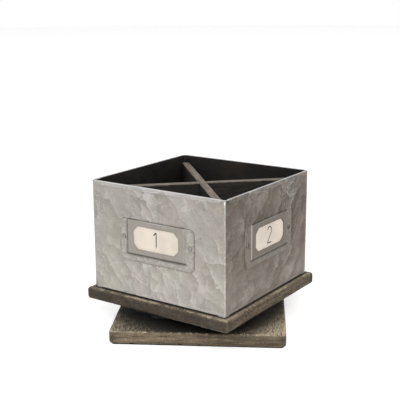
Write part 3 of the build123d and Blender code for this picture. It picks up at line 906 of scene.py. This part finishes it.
def board_wood(settings, name, turn, foot, shade, end_shade, pooled, rubbed_by, right_end_light, sawn, covered=None):
    """Stained board: short dark and pale strokes along the grain on the faces, soft level streaks on the
    sides, and arrises worn bare. shade multiplies the whole stain, on the upper board darker stain and
    painted shade together. end_shade darkens the sides at the ends: darker end grain, and on the upper
    board painted shade as well. pooled is how dark the stain ran at the right end, rubbed_by how worn the
    arrises are, right_end_light how much paler the face turns towards the right end, in pale rubbed grain
    and painted light from that side, and sawn how rough the sides are. covered is half the width of a
    square piece that stands on it, with a painted shadow under it and round its foot; without one the
    middle is darkened by a painted shadow as far as the turning piece above reaches."""
    coat = Coat(name, Roughness=0.7, Specular_IOR_Level=0.35)
    along = coat.scaled(coat.at, (1.0, 1.0, 1.0), -turn)
    grain = coat.use(grain_group, Vector=along, Line_Scale=1800.0, Stretch=0.09)
    mottle = coat.mottle(34.0, 1100.0, along)
    edge = coat.carried("edge")
    wear = coat.use(wear_group, Edge=edge, Vector=along, Amount=rubbed_by, Breakup=480.0)
    streaks = coat.noise(coat.scaled(along, (0.10, 0.10, 1.0)), 520.0, 4.0, 0.6)
    drawn = coat.noise(coat.scaled(along, (0.05, 0.05, 1.0)), 1300.0, 2.0, 0.6)
    tooth = coat.noise(along, 1500.0, 2.0, 0.6)
    side = coat.carried("side")
    across = coat.parts(along)[0]
    x, y, z = coat.parts(coat.at)
    level = coat.less(z, foot)
    reach = coat.vector("LENGTH", coat.vector("MULTIPLY", coat.at, (1.0, 1.0, 0.0)))

    def stain(value, amount=1.0):
        return tuple(shade * amount * channel for channel in value[:3])

    dark, pale = stain(settings.stain_dark), stain(settings.stain_pale)
    rubbed = coat.times(coat.ramp(grain["Grain"], 0.5, 0.66), coat.ramp(mottle["Patches"], 0.34, 0.6))
    # Pale rubbed grain round the uncovered rim, and towards the right end painted light from that side,
    # laid on as pale grain strokes.
    worn_rim_and_right_light = coat.ramp(reach, settings.half + 6 * MM, settings.half + 22 * MM, 0.0, 0.3)
    worn_rim_and_right_light = coat.plus(worn_rim_and_right_light, coat.ramp(across, 34 * MM, 60 * MM, 0.0, right_end_light))
    worn_rim_and_right_light = coat.times(worn_rim_and_right_light, coat.ramp(grain["Grain"], 0.41, 0.53, 0.15, 1.0))
    # Painted shadow: the face darkens under the piece that stands on it and round its foot, or under the
    # reach of the upper board.
    if covered is None:
        painted_shadow = coat.ramp(reach, settings.half + 18 * MM, settings.half - 5 * MM)
    else:
        outward = coat.most(coat.math("ABSOLUTE", x), coat.math("ABSOLUTE", y))
        painted_shadow = coat.ramp(outward, covered + 1.5 * MM, covered + 0.4 * MM)
    face = coat.layered(
        coat.mix(coat.ramp(grain["Grain"], 0.38, 0.6), dark, stain(settings.stain_mid)),
        (rubbed, pale),
        (coat.times(grain["Pores"], 0.75), dark),
        (worn_rim_and_right_light, pale),
        (coat.times(painted_shadow, 0.93), stain(settings.stain_dark, 0.3)),
    )
    cool = coat.mix(1.0, face, (0.86, 0.97, 1.0), "MULTIPLY")
    face = coat.mix(coat.ramp(across, 25 * MM, -55 * MM, 0.0, 0.45), face, cool)
    # Painted shade: the sides darken in blotches near the rounded upright corners.
    painted_corner_shade = coat.times(coat.carried("corner"), coat.ramp(mottle["Blotches"], 0.35, 0.6, 0.35, 0.8))
    flank = coat.layered(
        coat.mix(coat.ramp(streaks, 0.32, 0.68), stain(settings.side_dark), stain(settings.side_pale)),
        (coat.ramp(mottle["Blotches"], 0.42, 0.72, 0.0, 0.5), stain(settings.side_dark, 0.8)),
        (coat.ramp(tooth, 0.5, 0.62, 0.0, 0.65 * sawn), stain(settings.side_dark, 0.4)),
        (coat.ramp(tooth, 0.48, 0.36, 0.0, 0.6 * sawn), stain(settings.stain_pale, 0.85)),
        # Darker end grain on the sides that face along Y; on the upper board this is deepened by painted
        # shade.
        (coat.times(coat.carried("end"), 1 - end_shade), (0.008, 0.006, 0.004)),
        (coat.ramp(drawn, 0.50, 0.64, 0.0, 0.45), stain(settings.side_dark, 0.55)),
        (painted_corner_shade, stain(settings.side_dark, 0.6)),
        # Painted shade darkens the lowest few millimetres of each side; over its lowest part a thin pale
        # line runs along the very bottom.
        (coat.ramp(level, 2.6 * MM, 1.2 * MM, 0.0, 0.5), stain(settings.side_dark, 0.5)),
        (coat.ramp(level, 1.3 * MM, 0.3 * MM, 0.0, 0.6), stain(settings.stain_pale, 0.8)),
        (coat.ramp(across, -35 * MM, 60 * MM, 0.0, pooled), dark),
    )
    base = coat.layered(
        coat.mix(side, face, flank),
        (coat.times(wear["Soft"], 0.16), pale),
        (coat.times(wear["Rubbed"], 0.9), stain(settings.bare)),
    )
    rough = coat.ramp(mottle["Blotches"], 0.3, 0.7, 0.58, 0.82)
    return coat.finish(base, rough, coat.mix(side, grain["Height"], streaks), 0.4, 0.3 * MM)


def galvanised(settings):
    """Hot dipped zinc on the walls: spangles that follow the unfolded sheet, cool, green and pink by
    patches, with rubbed wear and painted highlights on the hem, the bends and the foot, painted light in
    the seams, a painted reflection that brightens it towards the foot, and a little white bloom."""
    coat = Coat("galvanised_spangle", Metallic=0.85, Roughness=0.5)
    crystals = coat.use(spangle_group, Vector=coat.sheet(), Per_Metre=1 / settings.spangle, Contrast=1.35)
    mottle = coat.mottle(30.0, 1300.0)
    wear = coat.use(wear_group, Edge=coat.carried("edge"), Vector=coat.at, Amount=0.55, Breakup=420.0)
    tone, glint = crystals["Tone"], crystals["Glint"]
    patches, blotches = mottle["Patches"], mottle["Blotches"]
    height = coat.parts(coat.at)[2]
    # Painted highlight: a ragged strip along the foot is painted paler and made less metallic.
    ragged = coat.weighed(height, (blotches, 3 * MM))
    painted_foot_light = coat.ramp(ragged, WALL_LOW.z + 5.5 * MM, WALL_LOW.z + 1.5 * MM)
    # Painted reflection of the pale floor: the zinc is painted brighter towards the foot.
    floor_reflection = coat.ramp(height, WALL_HIGH.z - 25 * MM, WALL_LOW.z, 0.0, settings.painted_foot_reflection)
    base = coat.layered(
        coat.mix(coat.ramp(tone, 0.12, 0.52), settings.zinc_dark, settings.zinc_mid),
        (coat.ramp(tone, 0.48, 0.95), settings.zinc_pale),
        (coat.times(glint, 0.40), (0.62, 0.612, 0.59)),
    )
    base = coat.layered(
        base,
        (coat.ramp(crystals["Tint"], 0.35, 0.75, 0.0, 0.4), coat.mix(0.5, base, (0.300, 0.305, 0.330))),
        (coat.ramp(patches, 0.50, 0.66, 0.0, 0.2), (0.365, 0.362, 0.292)),
        (coat.ramp(patches, 0.48, 0.34, 0.0, 0.35), (0.405, 0.352, 0.325)),
        (coat.times(mottle["Specks"], 0.12), (0.65, 0.64, 0.62)),
        (floor_reflection, (0.66, 0.63, 0.585)),
        (coat.times(painted_foot_light, 0.5), (0.66, 0.63, 0.60)),
        # Painted bluish highlight from the hem value: on the hem and in the seams.
        (coat.times(coat.carried("hem"), 0.6), (0.66, 0.67, 0.70)),
        # Rubbed wear, also painted highlight on the hem, the bends and the foot.
        (coat.times(wear["Rubbed"], 0.35), (0.60, 0.59, 0.56)),
    )
    rough = coat.weighed(coat.ramp(tone, 0.1, 0.9, 0.44, 0.34), (glint, -0.08))
    bloom = coat.weighed(coat.ramp(tone, 0.2, 0.8, 0.04, 0.28), (blotches, 0.2), (glint, 0.38), (painted_foot_light, 0.2))
    metal = coat.math("SUBTRACT", 1.05, bloom, clamp=True)
    return coat.finish(base, rough, crystals["Height"], 0.14, 0.3 * MM, metal)


def holder_zinc(settings, labels):
    """Pressed label holder: finer, duller zinc than the walls, with a paler flaked flange, painted shade in
    its creases and round the eyelets, and painted highlights on its lips."""
    coat = Coat("holder_zinc", Metallic=0.7, Roughness=0.5)
    sheet, plate = coat.sheet(), coat.carried("plate")
    at = coat.vector("ADD", sheet, coat.joined(coat.carried("own")))
    contrast = coat.ramp(plate, 0.2, 0.9, 1.3, 0.35)
    crystals = coat.use(spangle_group, Vector=at, Per_Metre=150.0, Contrast=contrast)
    drawn = coat.use(brushed_group, Vector=sheet, Line_Scale=2200.0)["Lines"]
    blotches = coat.mottle(90.0, 1500.0)["Blotches"]
    flange = coat.ramp(plate, 0.6, 0.1)
    x, y, _ = coat.parts(sheet)
    aside = coat.less(coat.math("ABSOLUTE", x), labels.eyelet_out)
    away = coat.vector("LENGTH", coat.joined(aside, coat.less(y, labels.eyelet_height)))
    base = coat.layered(
        coat.mix(coat.ramp(crystals["Tone"], 0.2, 0.8), settings.zinc_dark, settings.zinc_mid),
        (coat.ramp(blotches, 0.35, 0.75, 0.0, 0.35), (0.30, 0.285, 0.268)),
        (coat.times(flange, 0.17), (0.50, 0.475, 0.44)),
        (coat.times(coat.ramp(blotches, 0.50, 0.62, 0.0, 0.26), flange), (0.60, 0.575, 0.53)),
        (coat.times(crystals["Glint"], coat.ramp(plate, 0.2, 0.9, 0.5, 0.05)), (0.62, 0.61, 0.59)),
        # Painted shade in a ring round each eyelet.
        (coat.ramp(away, 2.5 * MM, 1.9 * MM, 0.0, 0.45), (0.085, 0.08, 0.075)),
        # Painted shade and painted highlights that the holder carries.
        (coat.times(coat.carried("painted_shade_lines"), 0.85), (0.066, 0.056, 0.047)),
        (coat.times(coat.carried("edge"), 0.7), (0.66, 0.65, 0.63)),
    )
    rough = coat.ramp(drawn, 0.3, 0.7, 0.42, 0.58)
    return coat.finish(base, rough, coat.plus(drawn, crystals["Height"]), 0.10)


def black_enamel(settings, name="black_enamel"):
    """Matt black coat inside the box, dusty and rubbed to brown in patches."""
    coat = Coat(name, Roughness=0.7, Specular_IOR_Level=0.22)
    mottle = coat.mottle(26.0, 1400.0)
    base = coat.mix(coat.ramp(mottle["Patches"], 0.35, 0.72), settings.enamel, (0.021, 0.017, 0.014))
    base = coat.mix(coat.times(mottle["Specks"], 0.35), base, (0.10, 0.095, 0.09))
    return coat.finish(base, coat.ramp(mottle["Blotches"], 0.3, 0.7, 0.48, 0.75), mottle["Height"], 0.25)


def divider_wood(turn, name):
    """Black stained divider: fine grain along its length, faces nearly black and the top edge worn."""
    coat = Coat(name, Roughness=0.7, Specular_IOR_Level=0.3)
    along = coat.scaled(coat.at, (1.0, 1.0, 1.0), turn)
    grain = coat.use(grain_group, Vector=along, Line_Scale=900.0, Stretch=0.05)
    blotches = coat.mottle(45.0, 1200.0, along)["Blotches"]
    ragged = coat.weighed(coat.parts(coat.at)[2], (blotches, 1.6 * MM))
    upper = coat.ramp(ragged, DIVIDER_TOP - 0.2 * MM, DIVIDER_TOP + 0.55 * MM)
    face = coat.mix(coat.ramp(grain["Grain"], 0.35, 0.7), (0.010, 0.0095, 0.009), (0.034, 0.027, 0.021))
    face = coat.mix(coat.ramp(grain["Pores"], 0.0, 1.0, 0.0, 0.5), face, (0.006, 0.006, 0.006))
    crown = coat.mix(coat.ramp(grain["Grain"], 0.34, 0.62), (0.085, 0.066, 0.052), (0.235, 0.195, 0.16))
    rough = coat.ramp(blotches, 0.3, 0.7, 0.55, 0.8)
    return coat.finish(coat.mix(upper, face, crown), rough, grain["Height"], 0.4, 0.3 * MM)


def plated_steel(name, tone, rough_low, rough_high):
    """Bright zinc plated steel with fine drawn lines and dull patches."""
    coat = Coat(name, Metallic=1.0, Roughness=0.35)
    drawn = coat.use(brushed_group, Vector=coat.at, Line_Scale=3000.0)["Lines"]
    blotches = coat.mottle(70.0, 2400.0)["Blotches"]
    dark = tuple(0.6 * channel for channel in tone)
    base = coat.mix(coat.ramp(blotches, 0.3, 0.75), dark, tone)
    return coat.finish(base, coat.ramp(drawn, 0.3, 0.7, rough_low, rough_high), drawn, 0.1, 0.1 * MM)


def card_paper(settings):
    """Uncoated card: cloudy fibres, a faint tooth and slightly darker patches."""
    coat = Coat("card_paper", Roughness=0.85, Specular_IOR_Level=0.25)
    mottle = coat.mottle(55.0, 2600.0)
    fibres = coat.noise(coat.scaled(coat.at, (1.0, 1.0, 0.35)), 1900.0, 3.0, 0.65)
    shade = tuple(0.86 * channel for channel in settings.paper[:3])
    base = coat.mix(coat.ramp(mottle["Patches"], 0.3, 0.72), shade, settings.paper)
    base = coat.mix(coat.ramp(fibres, 0.58, 0.78, 0.0, 0.35), base, (0.50, 0.43, 0.36))
    return coat.finish(base, coat.ramp(mottle["Blotches"], 0.3, 0.7, 0.78, 0.92), fibres, 0.2, 0.1 * MM)


def printed_ink(settings):
    """Black print, thin where the card's tooth shows through."""
    coat = Coat("printed_ink", Roughness=0.6, Specular_IOR_Level=0.3)
    mottle = coat.mottle(300.0, 5200.0)
    blotches = mottle["Blotches"]
    base = coat.mix(coat.ramp(blotches, 0.45, 0.8, 0.0, 0.6), settings.ink, (0.09, 0.08, 0.072))
    return coat.finish(base, coat.ramp(blotches, 0.3, 0.7, 0.5, 0.75), mottle["Height"], 0.1, 0.05 * MM)


def pad_rubber():
    """Black rubber sheet with grey patches and dust."""
    coat = Coat("pad_rubber", Roughness=0.85, Specular_IOR_Level=0.3)
    mottle = coat.mottle(60.0, 1800.0)
    black, grey = (0.012, 0.012, 0.012), (0.035, 0.033, 0.030)
    base = coat.mix(coat.ramp(mottle["Blotches"], 0.3, 0.75), black, grey)
    base = coat.mix(coat.times(mottle["Specks"], 0.4), base, (0.12, 0.11, 0.10))
    return coat.finish(base, coat.ramp(mottle["Patches"], 0.3, 0.7, 0.75, 0.95), mottle["Height"], 0.4)


def dress(piece, *materials):
    """Gives a piece or a CAD node its materials, in the order of its slots."""
    mesh = piece.data
    faces = np.zeros(len(mesh.polygons), np.int32)
    mesh.polygons.foreach_get("material_index", faces)
    mesh.materials.clear()
    for each in materials:
        mesh.materials.append(each)
    mesh.polygons.foreach_set("material_index", np.minimum(faces, len(materials) - 1))


# Operators


class PENHOLDER_OT_boards(bpy.types.Operator):
    """Builds both worn boards and dresses the pad under the lower one"""

    bl_idname = "penholder.boards"
    bl_label = "Boards"

    def execute(self, context):
        settings = context.scene.penholder_boards
        low, high, corner, arris = BOARD_LOW.z, BOARD_HIGH.z, settings.corner, settings.arris
        upper = board("upper_board", settings, low, high, corner, arris, seed=11, turn=0, hole=False)
        dress(upper, board_wood(
            settings, "board_wood_upper", turn=0.0, foot=low, shade=settings.upper_shade, end_shade=0.35,
            pooled=0.05, rubbed_by=0.56, right_end_light=0.5, sawn=1.0, covered=WALL_HIGH.x,
        ))
        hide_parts("turntable_board")
        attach(upper, "turntable")
        turn = settings.base_turn
        low, high, corner, arris = BASE_LOW.z, BASE_HIGH.z, settings.base_corner, settings.base_arris
        lower = board(
            "lower_board", settings, low, high, corner, arris, seed=23, turn=degrees(turn), hole=True
        )
        dress(lower, board_wood(
            settings, "board_wood_lower", turn=turn, foot=low, shade=1.0, end_shade=1.0,
            pooled=0.4, rubbed_by=0.44, right_end_light=1.0, sawn=0.45,
        ))
        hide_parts("base_board")
        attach(lower, "base")
        dress(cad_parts["base_pad"], pad_rubber())
        return {"FINISHED"}


class PENHOLDER_OT_bearing(bpy.types.Operator):
    """Dresses the ring bearing, its balls and all the screws"""

    bl_idname = "penholder.bearing"
    bl_label = "Bearing"

    def execute(self, context):
        # The bearing plates are toned dark as painted shade, for the shadowed gap between the boards where
        # they sit.
        plate = plated_steel("bearing_zinc_painted_dark", (0.13, 0.127, 0.12), 0.42, 0.6)
        ball = plated_steel("ball_chrome", (0.74, 0.74, 0.75), 0.08, 0.16)
        screw = plated_steel("screw_zinc", (0.66, 0.64, 0.57), 0.25, 0.42)
        for coat, names in (
            (plate, ("bearing_lower_plate", "bearing_upper_plate")),
            (ball, ("bearing_balls",)),
            (screw, ("lower_plate_screws", "upper_plate_screws", "box_screws")),
        ):
            for name in names:
                dress(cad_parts[name], coat)
        return {"FINISHED"}


class PENHOLDER_OT_walls(bpy.types.Operator):
    """Builds the two folded wall panels"""

    bl_idname = "penholder.walls"
    bl_label = "Walls"

    def execute(self, context):
        settings = context.scene.penholder_sheet
        zinc, enamel = galvanised(settings), black_enamel(settings)
        for name, node, turn, seed in (
            ("near_walls", "near_wall_panel", 0, 3),
            ("far_walls", "far_wall_panel", 180, 8),
        ):
            piece = wall_panel(name, settings, turn, seed)
            dress(piece, zinc, enamel)
            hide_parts(node)
            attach(piece, "turntable")
        return {"FINISHED"}


class PENHOLDER_OT_inside(bpy.types.Operator):
    """Dresses the floor pan and the divider cross"""

    bl_idname = "penholder.inside"
    bl_label = "Floor and dividers"

    def execute(self, context):
        settings = context.scene.penholder_sheet
        dress(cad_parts["box_floor"], black_enamel(settings, "pan_enamel"))
        dress(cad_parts["divider_near_far"], divider_wood(-pi / 4, "divider_wood_near_far"))
        dress(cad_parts["divider_left_right"], divider_wood(pi / 4, "divider_wood_left_right"))
        return {"FINISHED"}


class PENHOLDER_OT_labels(bpy.types.Operator):
    """Builds the label holders and numerals, and dresses the cards and eyelets"""

    bl_idname = "penholder.labels"
    bl_label = "Label holders"

    def execute(self, context):
        settings = context.scene.penholder_labels
        sheet = context.scene.penholder_sheet
        zinc, paper, ink = holder_zinc(sheet, settings), card_paper(settings), printed_ink(settings)
        eyelet = plated_steel("eyelet_zinc", (0.40, 0.385, 0.36), 0.34, 0.5)
        foot = HOLDER_LOW.z + settings.pocket_foot + settings.window_rise
        foot += (settings.window_height - settings.numeral_height) / 2
        # How much painted shade each holder's left step takes; the rest is painted there as highlight.
        painted_shade_share = {"front": 1.0, "right": 0.5, "back": 0.8, "left": 0.6}
        for figure, (side, facing) in enumerate(SIDES.items(), start=1):
            piece = label_holder(f"holder_{side}", settings, facing, sheet.half, painted_shade_share[side])
            dress(piece, zinc)
            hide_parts(f"label_holder_{side}")
            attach(piece, "turntable")
            dress(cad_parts[f"holder_eyelets_{side}"], eyelet)
            dress(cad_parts[f"label_card_{side}"], paper)
            mark = numeral(f"numeral_{side}", figure, settings, facing, CARD_FRONT, foot)
            dress(mark, ink)
            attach(mark, f"card_{side}")
        return {"FINISHED"}


def floor_disc(settings):
    """The pale floor: a wide flat disc that also glows a little where a camera or a reflection sees it."""
    hub, rim, thickness = 0.4, 6.0, 0.05
    ring = np.linspace(0, tau, 96, endpoint=False)
    radius = np.array([hub, rim, rim, hub])[:, None]
    level = np.array([0.0, 0.0, -thickness, -thickness])[:, None]
    disc = np.stack([radius * np.cos(ring), radius * np.sin(ring), level + 0 * ring], -1)
    floor = surface("studio_floor", disc)
    coat = Coat("studio_floor", Roughness=0.9, Specular_IOR_Level=0.1)
    shade = tuple(0.985 * channel for channel in settings.floor[:3])
    rays = coat.put("ShaderNodeLightPath").outputs
    seen = coat.most(rays["Is Camera Ray"], rays["Is Glossy Ray"])
    coat.give(coat.shader.inputs["Emission Color"], (1.0, 1.0, 1.0))
    coat.give(coat.shader.inputs["Emission Strength"], coat.times(seen, settings.floor_lift))
    dress(floor, coat.finish(coat.mix(coat.noise(coat.at, 3.0), shade, settings.floor)))


def dark_flag():
    """A leaning cloth on the right, seen only in reflections, that darkens the right wall."""
    front, middle, back = 0.105, 0.30, 0.40
    corners = [
        (front, 0.30, 0.004), (front, -0.03, 0.004), (middle, 0.0, 0.06),
        (middle, 0.45, 0.06), (back, 0.02, 0.40), (back, 0.56, 0.40),
    ]
    mesh = bpy.data.meshes.new("dark_flag")
    mesh.from_pydata(corners, [], [(0, 1, 2, 3), (3, 2, 4, 5)])
    flag = link("dark_flag", mesh)
    coat = Coat("flag_cloth", Roughness=1.0, Specular_IOR_Level=0.0)
    cloth = coat.mix(coat.noise(coat.at, 9.0), (0.112, 0.088, 0.069), (0.168, 0.135, 0.109))
    upper = coat.ramp(coat.parts(coat.at)[2], 0.02, 0.10)
    dress(flag, coat.finish(coat.mix(upper, (0.50, 0.41, 0.34), cloth)))
    for rays in ("camera", "diffuse", "transmission", "volume_scatter", "shadow"):
        setattr(flag, f"visible_{rays}", False)


def sky_world(strength):
    """White light from all round, at full strength where a camera or a reflection sees it."""
    world = bpy.data.worlds.new("studio_sky")
    world.use_nodes = True
    world.node_tree.nodes.clear()
    nodes = Nodes(world.node_tree)
    rays = nodes.put("ShaderNodeLightPath").outputs
    seen = nodes.most(nodes.most(rays["Is Camera Ray"], rays["Is Glossy Ray"]), rays["Is Transmission Ray"])
    values = {"Color": (1.0, 1.0, 1.0), "Strength": nodes.ramp(seen, 0.0, 1.0, strength, 1.0, "LINEAR")}
    back = nodes.put("ShaderNodeBackground", values)
    nodes.put("ShaderNodeOutputWorld", {"Surface": back.outputs[0]})
    return world


def area_lamp(name, place, size, watts, tint):
    """A soft square lamp that faces the middle of the pen holder."""
    target = Vector((0, 0, 0.06))
    data = bpy.data.lights.new(name, "AREA")
    data.shape = "SQUARE"
    data.size = size
    data.energy = watts
    data.color = tint
    lamp = link(name, data)
    lamp.location = place
    lamp.rotation_euler = (target - lamp.location).to_track_quat("-Z", "Y").to_euler()


def photo_camera(settings):
    """A camera turned by its heading, then tipped down by its pitch and rolled."""
    heading, pitch, roll = settings.heading, settings.pitch, settings.roll
    ahead = Vector((-sin(heading) * cos(pitch), cos(heading) * cos(pitch), -sin(pitch)))
    right = Vector((cos(heading), sin(heading), 0))
    up = right.cross(ahead)
    leaning_right = right * cos(roll) + up * sin(roll)
    leaning_up = up * cos(roll) - right * sin(roll)
    data = bpy.data.cameras.new("photo_camera")
    data.lens = settings.lens
    data.sensor_width = 36.0
    data.clip_start = 0.01
    data.clip_end = 30.0
    camera = link("photo_camera", data)
    axes = Matrix((leaning_right, leaning_up, -ahead)).transposed().to_4x4()
    camera.matrix_world = Matrix.Translation(Vector(settings.place)) @ axes
    return camera


class PENHOLDER_OT_stage(bpy.types.Operator):
    """Lays the pale floor and sets up the lamps, the world and the camera"""

    bl_idname = "penholder.stage"
    bl_label = "Studio"

    def execute(self, context):
        settings = context.scene.penholder_studio
        floor_disc(settings)
        dark_flag()
        context.scene.world = sky_world(settings.sky)
        area_lamp("key_lamp", (0.80, -0.95, 0.90), 0.7, settings.key, (1.0, 0.99, 0.97))
        area_lamp("fill_lamp", (-1.0, -0.7, 0.9), 1.0, settings.fill, (0.97, 0.98, 1.0))
        context.scene.camera = photo_camera(settings)
        context.scene.view_settings.view_transform = "Standard"
        return {"FINISHED"}


class PENHOLDER_PT_panel(bpy.types.Panel):
    """Lists the settings and the building steps"""

    bl_idname = "PENHOLDER_PT_panel"
    bl_label = "Pen Holder"
    bl_space_type = "VIEW_3D"
    bl_region_type = "UI"
    bl_category = "Pen Holder"

    def draw(self, context):
        layout = self.layout
        for attribute_name, group_class, operators in STEPS:
            box = layout.box()
            for key in group_class.__annotations__:
                box.prop(getattr(context.scene, attribute_name), key)
            for operator in operators:
                box.operator(operator.bl_idname)


STEPS = (
    ("penholder_boards", BoardSettings, (PENHOLDER_OT_boards, PENHOLDER_OT_bearing)),
    ("penholder_sheet", SheetSettings, (PENHOLDER_OT_walls, PENHOLDER_OT_inside)),
    ("penholder_labels", LabelSettings, (PENHOLDER_OT_labels,)),
    ("penholder_studio", StudioSettings, (PENHOLDER_OT_stage,)),
)


def register():
    for attribute_name, group_class, operators in STEPS:
        bpy.utils.register_class(group_class)
        setattr(bpy.types.Scene, attribute_name, bpy.props.PointerProperty(type=group_class))
        for operator in operators:
            bpy.utils.register_class(operator)
    bpy.utils.register_class(PENHOLDER_PT_panel)


def unregister():
    bpy.utils.unregister_class(PENHOLDER_PT_panel)
    for attribute_name, group_class, operators in reversed(STEPS):
        for operator in reversed(operators):
            bpy.utils.unregister_class(operator)
        delattr(bpy.types.Scene, attribute_name)
        bpy.utils.unregister_class(group_class)


def main():
    register()
    bpy.ops.penholder.boards()
    bpy.ops.penholder.bearing()
    bpy.ops.penholder.walls()
    bpy.ops.penholder.inside()
    bpy.ops.penholder.labels()
    bpy.ops.penholder.stage()


if __name__ == "__main__":
    main()
